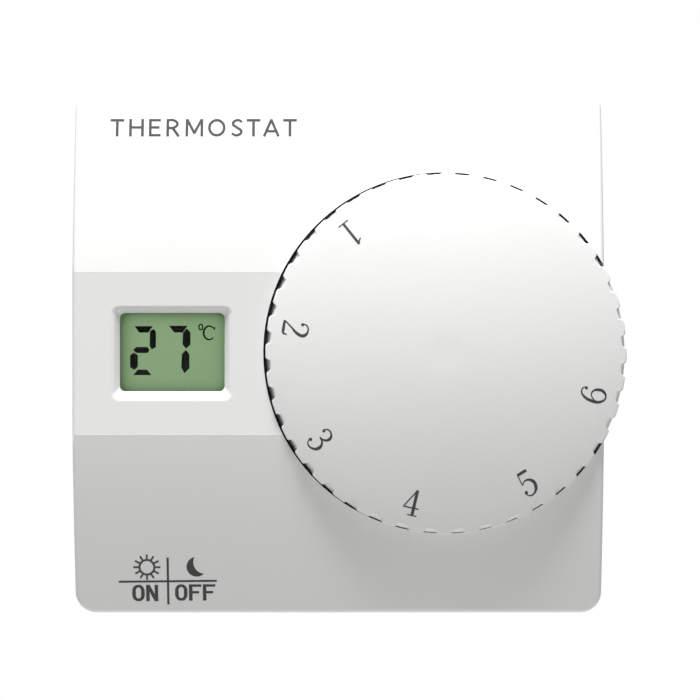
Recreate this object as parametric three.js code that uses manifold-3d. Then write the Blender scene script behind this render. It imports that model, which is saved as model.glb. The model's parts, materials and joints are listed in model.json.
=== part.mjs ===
// Battery room thermostat for a wall: a square case with a turning dial, a small display window and a
// two-position switch in its bottom edge. The case pulls straight off a wall plate that carries the
// terminals.
// Millimetres. X points right, Y into the wall, Z up. The origin is the middle of the wall plate's back face.
// A depth is a distance from the wall, so it is measured along -Y.
import * as THREE from "three";
import { mergeVertices } from "three/addons/utils/BufferGeometryUtils.js";
import Module from "manifold-3d";

const wasm = await Module();
wasm.setup();

// ---- Driving dimensions ----

// Gaps
const gap = 0.3; // between pieces that rest on or beside each other
const slideGap = 0.4; // between the wall plate's rim and the case that slides over it

// Case
const displayZone = 31.25; // from the case's left edge to the dial's left edge
const dialOverhang = 3.55; // how far the dial stands out of the case's right side
const caseHeight = 86;
const caseCorner = 3.4;
const caseEdge = 1; // rounding between the front face and the sides
const wall = 2;
const bandDepth = 30.79; // the case's deepest line, beside the flat middle band
const bandHeight = 26.2;
const bandMiddle = -0.5;
const bandRecess = 0.04; // the band lies this much below the slopes above and below it
const slopeStart = THREE.MathUtils.degToRad(8.5); // how steeply those slopes leave the band
const slopeDrop = 7.17; // how far they have fallen at the case's top and bottom edges

// Dial
const dialRadius = 29.15;
const dialProud = 0.95; // from the band to the dial's rim
const dialDomeRadius = 112;
const skirtHeight = 8.5;
const skirtWall = 2;
const dialFaceThickness = 1.8;
const rimChamfer = 0.35;
const notchCount = 40;
const notchDepth = 0.72;
const notchMouth = 5; // degrees at the crest
const notchBottom = 2.7; // degrees at the root
const notchPhase = 3.9; // degrees from +X to the first notch
const hubRadius = 5.4;
const wellClearance = 0.45; // around the dial
const wellFloorGap = 0.8; // behind the dial
const wellWall = 1.5;
const wellFloor = 1.5;

// Display
const windowEdge = 16.1; // from the case's left edge to the window's middle
const windowHeight = 12.5;
const windowWidth = 16.85;
const windowCorner = 0.8;
const bevelSide = 1;
const bevelTop = 1.4;
const bevelBottom = 1.45;
const lensThickness = 1;
const lensMargin = 1.6;
const glassThickness = 1.1;
const glassMargin = 2.2; // glass beyond the window, left and right
const rearGlassMargin = 0.8; // rear glass beyond the window, above and below
const contactLedge = 2.3; // front glass beyond the rear glass, above and below
const reflectorThickness = 0.3;
const holderWall = 1.5;
const zebraThickness = 1.7;

// Circuit board and what it carries
const boardThickness = 1.6;
const shaftRadius = 3;
const shaftFlat = 1.5; // from the shaft's axis to its flat
const potRadius = 8.25;
const potDepth = 6.7;
const potWall = 1.1;
const trackThickness = 1.1;
const wiperRadius = 6.2;
const wiperThickness = 2;

// Battery bay
const cellDiameter = 10.5;
const cellLength = 44.5;
const cellNub = 1.2;
const cellNubRadius = 1.9;
const cellGap = 0.5;
const bayWall = 1;
const bayFloor = 1.1;
const springLength = 2.9;
const springWire = 0.6;
const batteryPlate = 0.4;

// Wall plate and plug
const plateThickness = 2.5;
const rimHeight = 5;
const rimWall = 1.6;
const rimToCover = 1.1;
const rearCoverThickness = 1.5;
const terminalCount = 3;
const terminalPitch = 9.4;
const terminalBlockHeight = 15;
const terminalBlockDepth = 8.6;
const terminalEnd = 0.9; // block beyond the outer terminals
const bladeWidth = 2.4;
const bladeThickness = 0.6;
const bladeGrip = 4.2; // length of a blade inside its socket
const cageInset = 1.4; // from the block's back to a terminal's cage
const terminalInset = 10; // from the case's top edge to the block
const cableDrop = 5.4; // from the block to the middle of the cable hole
const wallScrewSpacing = 60;
const wallScrewHole = 3.8;
const backLand = 4; // flat border round the wall plate's back
const backRelief = 0.9; // depth of the hollows inside that border
const backRib = 2.6;
const centrePad = 8; // radius of the flat pad in the middle
const screwPad = 3.2; // flat ring round each screw slot

// Two-position switch
const switchEdge = 15.1; // from the case's left edge to the switch's middle
const switchTravel = 3;
const sliderWidth = 5;
const sliderDepth = 2.8;
const sliderFlange = 1;
const leverSize = 2;
const leverHeight = 5;
const switchSink = 2.75; // the lever's axis behind the board
const scoop = { width: 14, depth: 6.2, sink: 0.7 }; // finger hollow in the case's edge

// Vents
const vent = { pitch: 3.2, width: 1.5, clear: 1.4 };
const ventRows = [
  { side: 1, firstX: -16, count: 11 },
  { side: -1, firstX: 2, count: 9 },
];

// ---- Sizes worked out from them ----

// Each slope is an arc with that start and that fall over its height
const slopeRise = (caseHeight - bandHeight) / 2;
const slopeTurn = Math.atan2(slopeDrop, slopeRise) - slopeStart;
const slopeRadius = Math.hypot(slopeRise, slopeDrop) / (2 * Math.sin(slopeTurn));

const caseWidth = displayZone + 2 * dialRadius - dialOverhang;
const left = -caseWidth / 2;
const top = caseHeight / 2;
const innerWidth = caseWidth - 2 * wall;
const innerHeight = caseHeight - 2 * wall;
const dialX = caseWidth / 2 + dialOverhang - dialRadius;
const dialZ = bandMiddle;
const windowX = left + windowEdge;
const windowZ = bandMiddle + 0.1;

const bandFace = bandDepth - bandRecess;
const lensFront = bandFace - wall - gap;
const frontGlassFront = lensFront - lensThickness - gap;
const frontGlassBack = frontGlassFront - glassThickness;
const rearGlassFront = frontGlassBack - gap;
const reflectorFront = rearGlassFront - glassThickness - gap;

const rimDepth = bandFace + dialProud;
const skirtBack = rimDepth - skirtHeight;
const wellRadius = dialRadius + wellClearance;
const wellFloorFront = skirtBack - wellFloorGap;
const wellFloorBack = wellFloorFront - wellFloor;

const boardFront = wellFloorBack - gap;
const boardBack = boardFront - boardThickness;
const partsFront = boardBack - gap; // where pieces on the board's rear side begin
const caseBack = plateThickness + gap;
const rearCoverBack = plateThickness + rimHeight + rimToCover;
const rearCoverFront = rearCoverBack + rearCoverThickness;

const caseScrewInset = 7; // from the case's sides to the corner screws
const screwX = caseWidth / 2 - caseScrewInset;
const screwZ = top - caseScrewInset;
const caseScrew = { shank: 1.3, length: 12, head: 2.6, headHeight: 1.6 };
const boardScrew = { shank: 1.1, length: 6, head: 2.1, headHeight: 1.4 };
const bossWall = 1.6;
const boardScrewInset = 10; // from the case's left edge
const boardScrewSpread = 25.5; // above and below the band's middle
const boardScrewTop = 12; // from the case's top edge to the third screw
const boardScrewAside = 17.4; // from the dial's middle to the third screw
const boardScrewPlaces = [
  [left + boardScrewInset, bandMiddle + boardScrewSpread],
  [left + boardScrewInset, bandMiddle - boardScrewSpread],
  [dialX - boardScrewAside, top - boardScrewTop],
];
const corners = [[-1, -1], [1, -1], [1, 1], [-1, 1]];

// ---- Solids ----

// Joins and cuts work on closed solids whose shared corners are merged
function solid(shape) {
  if (!shape.isBufferGeometry) return shape;
  const bare = shape.clone();
  bare.deleteAttribute("normal");
  bare.deleteAttribute("uv");
  const merged = mergeVertices(bare, 1e-4);
  return new wasm.Manifold(new wasm.Mesh({
    numProp: 3,
    vertProperties: new Float32Array(merged.attributes.position.array),
    triVerts: new Uint32Array(merged.index.array),
  }));
}

function join(first, ...others) {
  return others.reduce((sum, other) => sum.add(solid(other)), solid(first));
}

function cut(first, ...others) {
  return others.reduce((rest, other) => rest.subtract(solid(other)), solid(first));
}

function common(first, second) {
  return solid(first).intersect(solid(second));
}

function geometryOf(shape) {
  if (shape.isBufferGeometry) return shape;
  const mesh = shape.getMesh();
  const geometry = new THREE.BufferGeometry();
  geometry.setAttribute("position", new THREE.BufferAttribute(mesh.vertProperties, 3));
  geometry.setIndex(new THREE.BufferAttribute(mesh.triVerts, 1));
  return geometry;
}

// A box between two depths, centred on x and z
function block(x, z, width, height, back, front) {
  return new THREE.BoxGeometry(width, front - back, height).translate(x, -(back + front) / 2, z);
}

// A round bar between two depths
function bar(x, z, radius, back, front, segments = 24) {
  const cylinder = new THREE.CylinderGeometry(radius, radius, front - back, segments);
  return cylinder.translate(x, -(back + front) / 2, z);
}

// A front-view outline extruded between two depths
function prism(outline, back, front) {
  const geometry = new THREE.ExtrudeGeometry(outline, { depth: front - back, bevelEnabled: false });
  return geometry.rotateX(Math.PI / 2).translate(0, -back, 0);
}

// A profile of [radius, depth] points turned about an axis that points out of the wall
function turned(profile, segments = 24) {
  const points = profile.map(([radius, depth]) => new THREE.Vector2(radius, depth));
  return new THREE.LatheGeometry(points, segments).rotateX(Math.PI);
}

// Upright rounded rectangle about the origin: up its right side, then down its left. The rows are extra
// heights on the straight sides.
function roundedLoop(width, height, corner, rows = []) {
  const steps = 5;
  const right = [];
  const centreX = width / 2 - corner;
  const centreZ = height / 2 - corner;
  for (let i = 0; i <= steps; i++) {
    const angle = (i / steps - 1) * Math.PI / 2;
    right.push([centreX + corner * Math.cos(angle), -centreZ + corner * Math.sin(angle)]);
  }
  for (const z of rows) right.push([width / 2, z]);
  for (let i = 0; i <= steps; i++) {
    const angle = i / steps * Math.PI / 2;
    right.push([centreX + corner * Math.cos(angle), centreZ + corner * Math.sin(angle)]);
  }
  return [...right, ...right.map(([x, z]) => [-x, z]).reverse()];
}

// Skin through loops of [x, depth, z] points from back to front. The ends are closed with strips that run
// from the right side to the left.
function loft(loops) {
  const count = loops[0].length;
  const index = [];
  loops.slice(1).forEach((_, k) => {
    for (let i = 0; i < count; i++) {
      const a = k * count + i;
      const b = k * count + (i + 1) % count;
      index.push(a, b, b + count, a, b + count, a + count);
    }
  });
  const lastLoop = (loops.length - 1) * count;
  for (let i = 0; i < count / 2 - 1; i++) {
    const [a, b, c, d] = [i, i + 1, count - 2 - i, count - 1 - i];
    index.push(c, b, a, d, c, a);
    index.push(lastLoop + a, lastLoop + b, lastLoop + c, lastLoop + a, lastLoop + c, lastLoop + d);
  }
  const geometry = new THREE.BufferGeometry();
  const positions = loops.flat().flatMap(([x, depth, z]) => [x, -depth, z]);
  geometry.setAttribute("position", new THREE.Float32BufferAttribute(positions, 3));
  return geometry.setIndex(index);
}

function roundedBlock(x, z, width, height, corner, back, front) {
  const loop = roundedLoop(width, height, corner);
  return loft([back, front].map((depth) => loop.map(([px, pz]) => [x + px, depth, z + pz])));
}

// ---- Pieces ----

function piece(name, shape, colour, roughness, metalness = 0) {
  const material = new THREE.MeshStandardMaterial({ color: colour, roughness, metalness, flatShading: true });
  const mesh = new THREE.Mesh(geometryOf(shape), material);
  mesh.name = name;
  return mesh;
}

const colours = {
  shell: 0xf2f2ee,
  inner: 0xe4e4df,
  board: 0x2f6b3c,
  steel: 0xb9bcc0,
  brass: 0xc9a24a,
  black: 0x232326,
};

// Depth of the front face at height z: a flat band, a small ledge at each of its edges, then bowed slopes
function faceDepth(z) {
  const rise = Math.abs(z - bandMiddle) - bandHeight / 2;
  if (rise <= 0) return bandFace;
  if (rise < bandRecess) return bandFace + rise;
  const start = slopeRadius * Math.sin(slopeStart);
  return bandDepth - slopeRadius * Math.cos(slopeStart) + Math.sqrt(slopeRadius ** 2 - (start + rise) ** 2);
}

// Heights at which the front face bends
function faceRows() {
  const steps = 9;
  const rows = [];
  for (const side of [-1, 1]) {
    const bandEdge = bandMiddle + side * bandHeight / 2;
    const ledge = bandEdge + side * bandRecess;
    const end = side * (top - caseCorner);
    rows.push(bandEdge);
    for (let i = 0; i < steps; i++) rows.push(THREE.MathUtils.lerp(ledge, end, i / steps));
  }
  return rows.sort((a, b) => a - b);
}

// The case as a block, smaller by inset on each side and lower by drop, with its front edge rounded
function caseBlock(inset, back, drop, edge) {
  const edgeSteps = edge > 0 ? 3 : 0;
  const rows = faceRows();
  const loopAt = (more) => roundedLoop(
    caseWidth - 2 * (inset + more), caseHeight - 2 * (inset + more), caseCorner - inset - more, rows);
  const loops = [loopAt(0).map(([x, z]) => [x, back, z])];
  for (let i = 0; i <= edgeSteps; i++) {
    const angle = edgeSteps ? i / edgeSteps * Math.PI / 2 : Math.PI / 2;
    const sink = drop + edge * (1 - Math.sin(angle));
    const more = edgeSteps ? edge * (1 - Math.cos(angle)) : 0;
    loops.push(loopAt(more).map(([x, z]) => [x, faceDepth(z) - sink, z]));
  }
  return loft(loops);
}

// Bevelled opening over the display: straight through the wall, flaring to the front
function windowOpening() {
  const flare = (amount) => {
    const width = windowWidth + 2 * bevelSide * amount;
    const height = windowHeight + (bevelTop + bevelBottom) * amount;
    const middle = windowZ + (bevelTop - bevelBottom) / 2 * amount;
    const depth = bandFace - wall * (1 - amount);
    const loop = roundedLoop(width, height, windowCorner + 0.5 * amount);
    return loop.map(([x, z]) => [windowX + x, depth, middle + z]);
  };
  const through = roundedBlock(windowX, windowZ, windowWidth, windowHeight, windowCorner,
    bandFace - 2 * wall, bandFace);
  return join(loft([0.02, 1.2].map(flare)), through);
}

// A row of narrow vents through the top (side 1) or bottom (side -1) wall
function vents({ side, firstX, count }) {
  return Array.from({ length: count }, (_, i) => block(firstX + i * vent.pitch, side * (top - wall / 2),
    vent.width, 2 * wall, rearCoverFront + vent.clear, boardBack));
}

const switchX = left + switchEdge;
const switchDepth = partsFront - switchSink;
const sliderSlot = { width: sliderWidth + switchTravel + 2 * gap, depth: sliderDepth + 2 * gap };

function frontCover() {
  const cornerBosses = corners.map(([sx, sz]) => ({
    x: sx * screwX, z: sz * screwZ, shank: caseScrew.shank,
    back: rearCoverFront + gap, reach: caseScrew.length - rearCoverThickness,
  }));
  const boardBosses = boardScrewPlaces.map(([x, z]) => ({
    x, z, shank: boardScrew.shank,
    back: boardFront + gap, reach: boardScrew.length - boardThickness,
  }));
  const boss = ({ x, z, shank, back }) => bar(x, z, shank + gap + bossWall, back, bandDepth);
  const pilot = ({ x, z, shank, back, reach }) => bar(x, z, shank + gap, back - 1, back + reach);
  const hollow = cut(
    caseBlock(wall, caseBack - 5, wall, 0),
    bar(dialX, dialZ, wellRadius + wellWall, wellFloorBack, bandDepth + 1, 72),
    ...cornerBosses.map(boss),
    ...boardBosses.map(boss),
  );
  return cut(
    caseBlock(0, caseBack, 0, caseEdge),
    hollow,
    bar(dialX, dialZ, wellRadius, wellFloorFront, bandDepth + 9, 72),
    bar(dialX, dialZ, shaftRadius + 2 * gap, wellFloorBack - 1, wellFloorFront + 1),
    windowOpening(),
    ...cornerBosses.map(pilot),
    ...boardBosses.map(pilot),
    ...ventRows.flatMap(vents),
    block(switchX, -top + wall / 2, sliderSlot.width, 2 * wall,
      switchDepth - sliderSlot.depth / 2, switchDepth + sliderSlot.depth / 2),
    block(switchX, -top, scoop.width, 2 * scoop.sink,
      switchDepth - scoop.depth / 2, switchDepth + scoop.depth / 2),
  );
}

// The notched outline of the dial's skirt
function dialOutline() {
  const pitch = 360 / notchCount;
  const outline = [];
  for (let i = 0; i < notchCount; i++) {
    const middle = notchPhase + i * pitch;
    const corners = [
      [dialRadius, -notchMouth / 2],
      [dialRadius - notchDepth, -notchBottom / 2],
      [dialRadius - notchDepth, notchBottom / 2],
      [dialRadius, notchMouth / 2],
    ];
    for (const [radius, offset] of corners) {
      const angle = THREE.MathUtils.degToRad(middle + offset);
      outline.push(new THREE.Vector2(radius * Math.cos(angle), radius * Math.sin(angle)));
    }
  }
  return new THREE.Shape(outline);
}

// Depth of the dial's domed face, less a thickness, at a radius from its middle
function domeDepth(radius, under = 0) {
  const ball = dialDomeRadius - under;
  const middle = rimDepth - Math.sqrt(dialDomeRadius ** 2 - dialRadius ** 2);
  return middle + Math.sqrt(ball ** 2 - radius ** 2);
}

const shaftFront = rimDepth - 1.2;

function dialKnob() {
  const steps = 6;
  const innerRadius = dialRadius - notchDepth - skirtWall;
  const hubBack = skirtBack + 0.4;
  const profile = [[0, hubBack], [hubRadius, hubBack]];
  for (let i = 0; i <= steps; i++) {
    const radius = THREE.MathUtils.lerp(hubRadius, innerRadius, i / steps);
    profile.push([radius, domeDepth(radius, dialFaceThickness)]);
  }
  const overcut = 1; // the turned blank is wider than the notched outline
  const chamferRadius = dialRadius - rimChamfer;
  profile.push([innerRadius, skirtBack], [dialRadius + overcut, skirtBack]);
  profile.push([dialRadius + overcut, domeDepth(chamferRadius) - rimChamfer - overcut]);
  for (let i = steps; i >= 0; i--) {
    const radius = chamferRadius * i / steps;
    profile.push([radius, domeDepth(radius)]);
  }
  const bore = cut(
    bar(0, 0, shaftRadius + gap, hubBack - 1, shaftFront + gap),
    block(0, shaftFlat + gap + 5, 20, 10, hubBack - 2, shaftFront + 1),
  );
  return cut(common(prism(dialOutline(), skirtBack - 1, bandDepth + 9), turned(profile, 60)), bore);
}

const potBack = partsFront - potDepth;
const wiperFront = partsFront - potWall - 0.8;
const shaftBack = potBack + trackThickness + gap;

function potentiometerShaft() {
  return cut(
    bar(0, 0, shaftRadius, shaftBack, shaftFront),
    block(0, shaftFlat + 5, 20, 10, skirtBack, shaftFront + 1),
  );
}

function potentiometerHousing() {
  return turned([
    [shaftRadius + gap, partsFront - potWall],
    [potRadius - potWall, partsFront - potWall],
    [potRadius - potWall, potBack],
    [potRadius, potBack],
    [potRadius, partsFront],
    [shaftRadius + gap, partsFront],
    [shaftRadius + gap, partsFront - potWall],
  ], 32);
}

// The resistive wafer that closes the potentiometer, with its three tags
function potentiometerTrack() {
  const wafer = bar(0, 0, potRadius - potWall - gap, potBack, potBack + trackThickness, 32);
  const tags = [-1, 0, 1].map((i) => block(i * 3.4, -potRadius, 1.3, 6, potBack - 0.6 - gap, potBack - gap));
  const neck = block(0, -4.4, 8.4, 2.4, potBack - 0.9, potBack + 0.2);
  return join(wafer, neck, ...tags);
}

// A pan-head screw whose head lies against depth zero and whose shank points out of the wall
function screw({ shank, length, head, headHeight }) {
  const tip = shank;
  const blank = turned([
    [0, -headHeight],
    [head * 0.7, -headHeight],
    [head, -headHeight * 0.5],
    [head, -gap],
    [shank, -gap],
    [shank, length - tip],
    [0, length],
  ], 16);
  const slot = { width: head * 0.28, length: head * 1.15, depth: headHeight * 0.5 };
  return cut(
    blank,
    block(0, 0, slot.width, slot.length, -headHeight - 1, -headHeight + slot.depth),
    block(0, 0, slot.length, slot.width, -headHeight - 1, -headHeight + slot.depth),
  );
}

// The same screw the other way round: it is driven from the front
function frontScrew(size) {
  return geometryOf(screw(size)).rotateX(Math.PI);
}

function circuitBoard() {
  const width = innerWidth - 4 * gap;
  const height = innerHeight - 4 * gap;
  const bossClear = caseScrew.shank + bossWall + 3 * gap;
  const notch = 20;
  const notchX = screwX - bossClear + notch / 2;
  const notchZ = screwZ - bossClear + notch / 2;
  const cornerNotches = corners.map(([sx, sz]) =>
    block(sx * notchX, sz * notchZ, notch, notch, boardBack - 1, boardFront + 1));
  return cut(
    block(0, 0, width, height, boardBack, boardFront),
    ...cornerNotches,
    bar(dialX, dialZ, shaftRadius + 4 * gap, boardBack - 1, boardFront + 1),
    ...boardScrewPlaces.map(([x, z]) =>
      bar(x, z, boardScrew.shank + gap, boardBack - 1, boardFront + 1, 16)),
  );
}

const glassWidth = windowWidth + 2 * glassMargin;
const rearGlassHeight = windowHeight + 2 * rearGlassMargin;
const frontGlassHeight = rearGlassHeight + 2 * contactLedge;
const stripBack = boardFront + gap;

function windowLens() {
  return roundedBlock(windowX, windowZ, windowWidth + 2 * lensMargin, windowHeight + 2 * lensMargin,
    windowCorner, lensFront - lensThickness, lensFront);
}

function displayLayer(height, front, thickness) {
  return block(windowX, windowZ, glassWidth, height, front - thickness, front);
}

function lcdHolder() {
  const innerW = glassWidth + 2 * gap;
  const innerH = frontGlassHeight + 2 * gap;
  return cut(
    block(windowX, windowZ, innerW + 2 * holderWall, innerH + 2 * holderWall, stripBack, frontGlassFront),
    block(windowX, windowZ, innerW, innerH, stripBack - 1, frontGlassFront + 1),
  );
}

function zebraStrip(side) {
  const z = windowZ + side * (rearGlassHeight / 2 + gap + zebraThickness / 2);
  return block(windowX, z, glassWidth - 1, zebraThickness, stripBack, frontGlassBack - gap);
}

// Battery bay, which is part of the rear cover: two cells one above the other
const bayX = 4.5;
const bayLength = cellLength + springLength + 2 * (batteryPlate + gap) + 3 * gap;
const bayHeight = 2 * cellDiameter + 3 * cellGap;
const bayBottom = -top + wall + slideGap + bayWall;
const bayZ = bayBottom + bayHeight / 2;
const bayFloorBack = partsFront - bayFloor;
const cellDepth = bayFloorBack - cellGap / 2 - cellDiameter / 2;
const cellRows = [1, -1].map((side) => bayZ + side * (cellDiameter + cellGap) / 2);

function rearCover() {
  const width = innerWidth - 2 * gap;
  const height = innerHeight - 2 * gap;
  const plate = roundedBlock(0, 0, width, height, caseCorner - wall, rearCoverBack, rearCoverFront);
  const bay = block(bayX, bayZ, bayLength + 2 * bayWall, bayHeight + 2 * bayWall, rearCoverBack, partsFront);
  const bayHollow = block(bayX, bayZ, bayLength, bayHeight, rearCoverBack - 1, bayFloorBack);
  const divider = block(bayX, bayZ, bayLength * 0.5, cellGap * 0.5, bayFloorBack - 1.6, bayFloorBack + 0.2);
  const screwHoles = corners.map(([sx, sz]) =>
    bar(sx * screwX, sz * screwZ, caseScrew.shank + gap, rearCoverBack - 1, rearCoverFront + 1, 16));
  const plug = block(terminalX, terminalZ, terminalBlockWidth + 2 * slideGap,
    terminalBlockHeight + 2 * slideGap, rearCoverBack - 1, rearCoverFront + 1);
  return join(cut(join(plate, bay), bayHollow, plug, ...screwHoles), divider);
}

function cell() {
  const radius = cellDiameter / 2;
  const edge = 0.5;
  const rim = 0.25;
  const shoulder = cellLength - cellNub;
  return turned([
    [0, 0],
    [radius - 1.6, 0],
    [radius - edge, rim],
    [radius, edge + rim],
    [radius, shoulder - edge],
    [radius - edge, shoulder],
    [cellNubRadius, shoulder],
    [cellNubRadius, cellLength],
    [0, cellLength],
  ], 28).rotateZ(Math.PI / 2);
}

const spring = { wide: 3.4, narrow: 2, turns: 3 };

class SpringCurve extends THREE.Curve {
  getPoint(t, target = new THREE.Vector3()) {
    const angle = t * spring.turns * 2 * Math.PI;
    const radius = THREE.MathUtils.lerp(spring.wide, spring.narrow, t);
    const length = springLength - springWire;
    return target.set(springWire / 2 + t * length, radius * Math.cos(angle), radius * Math.sin(angle));
  }
}

// A conical spring along +X, wide end first
function batterySpring() {
  const wire = new THREE.Shape().absarc(0, 0, springWire / 2, 0, 2 * Math.PI);
  return new THREE.ExtrudeGeometry(wire, {
    steps: 42, curveSegments: 3, bevelEnabled: false, extrudePath: new SpringCurve(),
  });
}

// Terminal block on the wall plate
const terminalX = 2;
const terminalBlockWidth = terminalPitch * (terminalCount - 1) + 2 * (terminalPitch / 2 + terminalEnd);
const terminalTop = top - terminalInset;
const terminalZ = terminalTop - terminalBlockHeight / 2;
const terminalBack = plateThickness + gap;
const terminalFront = terminalBack + terminalBlockDepth;
const terminalPlaces = Array.from({ length: terminalCount }, (_, i) =>
  terminalX + (i - (terminalCount - 1) / 2) * terminalPitch);
const socketZ = terminalZ - terminalBlockHeight / 2 + 3;
const cageZ = terminalZ + 2.4;
const cageBack = terminalBack + cageInset;
const cage = { width: 6.4, height: 7, wall: 0.8, back: cageBack, front: terminalFront - 1.6 };
const socket = {
  width: bladeWidth + 1.4, height: 2.6, leaf: 0.5, back: cageBack, front: terminalFront - 0.6,
};
const wireEntry = { width: 3.4, depth: 3.2 };
const bladeBack = terminalFront - bladeGrip;

function terminalBlock() {
  const pockets = terminalPlaces.map((x) => join(
    block(x, cageZ, cage.width + 2 * gap, cage.height + 2 * gap, cage.back - gap, terminalFront + 1),
    block(x, socketZ, socket.width + 2 * gap, socket.height + 2 * gap, socket.back - gap, terminalFront + 1),
    block(x, cageZ + cage.height, wireEntry.width, cage.height,
      cage.back + cage.wall, cage.back + cage.wall + wireEntry.depth),
  ));
  return cut(
    block(terminalX, terminalZ, terminalBlockWidth, terminalBlockHeight, terminalBack, terminalFront),
    ...pockets,
  );
}

// A brass cage: the wire enters from above and the screw presses it down
function terminalCage() {
  const { width, height, wall: sheet, back, front } = cage;
  return cut(
    block(0, 0, width, height, back, front),
    block(0, 0, width - 2 * sheet, height + 2, back + sheet, front - sheet),
    bar(0, 0, terminalScrew.shank + gap, front - sheet - 1, front + 1, 16),
  );
}

const terminalScrew = { shank: 1.3, length: 3.4, head: 2.3, headHeight: 1.2 };

// A folded strip whose two leaves hold a blade
function socketContact() {
  const { width, height, leaf, back, front } = socket;
  return cut(
    block(0, 0, width, height, back, front),
    block(0, 0, width + 1, height - 2 * leaf, back + leaf, front + 1),
  );
}

const cableHole = { width: 20, height: 8, corner: 2, z: terminalZ - terminalBlockHeight / 2 - cableDrop };
const wallScrewReach = wallScrewSpacing / 2;
const slotLength = wallScrewHole + 5;
const wallSlots = [
  { x: -wallScrewReach, z: 0, width: wallScrewHole, height: slotLength },
  { x: wallScrewReach, z: 0, width: slotLength, height: wallScrewHole },
  { x: -wallScrewReach, z: -wallScrewReach, width: wallScrewHole, height: wallScrewHole },
  { x: wallScrewReach, z: -wallScrewReach, width: wallScrewHole, height: wallScrewHole },
  { x: -wallScrewReach, z: wallScrewReach, width: wallScrewHole, height: wallScrewHole },
  { x: wallScrewReach, z: wallScrewReach, width: wallScrewHole, height: wallScrewHole },
];

// Shallow hollows in the plate's back, between a border, ribs and pads that lie flat on the wall
function backHollows() {
  const [low, high] = [-1, backRelief];
  const land = (x, z, width, height) => block(x, z, width, height, low - 1, high + 1);
  return cut(
    roundedBlock(0, 0, caseWidth - 2 * backLand, caseHeight - 2 * backLand, 2, low, high),
    bar(0, 0, centrePad, low - 1, high + 1, 32),
    land(0, 0, caseWidth, backRib),
    land(0, -caseHeight / 4, backRib, caseHeight / 2),
    land(0, terminalTop, backRib, 2 * (terminalTop - cableHole.z)),
    land(terminalX, cableHole.z, cableHole.width + 2 * backRib, cableHole.height + 2 * backRib),
    ...wallSlots.map(({ x, z, width, height }) =>
      roundedBlock(x, z, width + 2 * screwPad, height + 2 * screwPad, wallScrewHole / 2 + screwPad - 0.01,
        low - 1, high + 1)),
  );
}

function wallPlate() {
  const rimWidth = innerWidth - 2 * slideGap;
  const rimHeightZ = innerHeight - 2 * slideGap;
  const rimCorner = caseCorner - wall;
  const rimFront = plateThickness + rimHeight;
  const rim = cut(
    roundedBlock(0, 0, rimWidth, rimHeightZ, rimCorner, plateThickness - 0.5, rimFront),
    block(0, 0, rimWidth - 2 * rimWall, rimHeightZ - 2 * rimWall, plateThickness - 1, rimFront + 1),
  );
  return cut(
    join(roundedBlock(0, 0, caseWidth, caseHeight, caseCorner, 0, plateThickness), rim),
    backHollows(),
    ...wallSlots.map(({ x, z, width, height }) =>
      roundedBlock(x, z, width, height, wallScrewHole / 2 - 0.01, -1, plateThickness + 1)),
    roundedBlock(terminalX, cableHole.z, cableHole.width, cableHole.height, cableHole.corner,
      -1, plateThickness + 1),
  );
}

const switchLow = -top + wall + 2.4; // height of the switch housing's lower face
const switchHousing = { width: 9, height: 4.6, depth: 5.4 };

function slideSwitchHousing() {
  const { width, height, depth } = switchHousing;
  const middle = switchLow + height / 2;
  return cut(
    block(switchX, middle, width, height, partsFront - depth, partsFront),
    block(switchX, middle - 1, leverSize + switchTravel + 2 * gap, height,
      switchDepth - leverSize / 2 - gap, switchDepth + leverSize / 2 + gap),
  );
}

const sliderRest = switchX - switchTravel / 2;

function switchLever() {
  const middle = switchLow - 0.1;
  return new THREE.BoxGeometry(leverSize, leverSize, leverHeight).translate(sliderRest, -switchDepth, middle);
}

// The finger piece: a ridged cap through the case's bottom wall, held by a flange behind it
function modeSlider() {
  const flangeLow = -top + wall + gap;
  const ridgePitch = 0.9;
  const body = (low, high, width, depth) => new THREE.BoxGeometry(width, depth, high - low)
    .translate(sliderRest, -switchDepth, (low + high) / 2);
  const grooves = [-2, -1, 0, 1, 2].map((i) => new THREE.BoxGeometry(0.4, sliderDepth + 1, 0.6)
    .translate(sliderRest + i * ridgePitch, -switchDepth, -top));
  return cut(
    join(
      body(-top, flangeLow + 0.2, sliderWidth, sliderDepth),
      body(flangeLow, flangeLow + sliderFlange, sliderWidth + switchTravel + 1, sliderDepth + 2),
    ),
    body(-top + 1, flangeLow + 3, leverSize + 2 * gap, leverSize + 2 * gap),
    ...grooves,
  );
}

// Parts that stand on the board's rear side
const boardParts = {
  relay: { x: left + 15.5, z: bandMiddle + 15, width: 20, height: 10.2, tall: 8.1 },
  microcontroller: { x: left + 15, z: bandMiddle - 6, width: 10, height: 10, tall: 1.4 },
  crystal: { x: left + 15, z: bandMiddle - 17, width: 11, height: 4.6, corner: 2.2, tall: 3.5 },
  capacitor: { x: left + 23.5, z: bandMiddle + 30.5, radius: 3.15, tall: 7.6 },
  thermistor: { x: caseWidth / 2 - 6.4, z: bandMiddle - 25, bead: 1.7, leg: 0.5, aside: 0.9, tall: 5.4 },
};

function onBoard({ x, z, width, height, tall }) {
  return block(x, z, width, height, partsFront - tall, partsFront);
}

function crystal() {
  const { x, z, width, height, corner, tall } = boardParts.crystal;
  return roundedBlock(x, z, width, height, corner, partsFront - tall, partsFront);
}

function capacitor() {
  const { x, z, radius, tall } = boardParts.capacitor;
  return turned([
    [0, partsFront - tall],
    [radius, partsFront - tall],
    [radius, partsFront],
    [0, partsFront],
  ]).translate(x, 0, z);
}

// A bead on two legs, near the vents
function thermistor() {
  const { x, z, bead, leg, aside, tall } = boardParts.thermistor;
  const legs = [-1, 1].map((side) => block(x + side * aside, z, leg, leg, partsFront - 5, partsFront));
  return join(new THREE.SphereGeometry(bead, 14, 10).translate(x, -(partsFront - tall), z), ...legs);
}

// ---- Assembly ----

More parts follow.
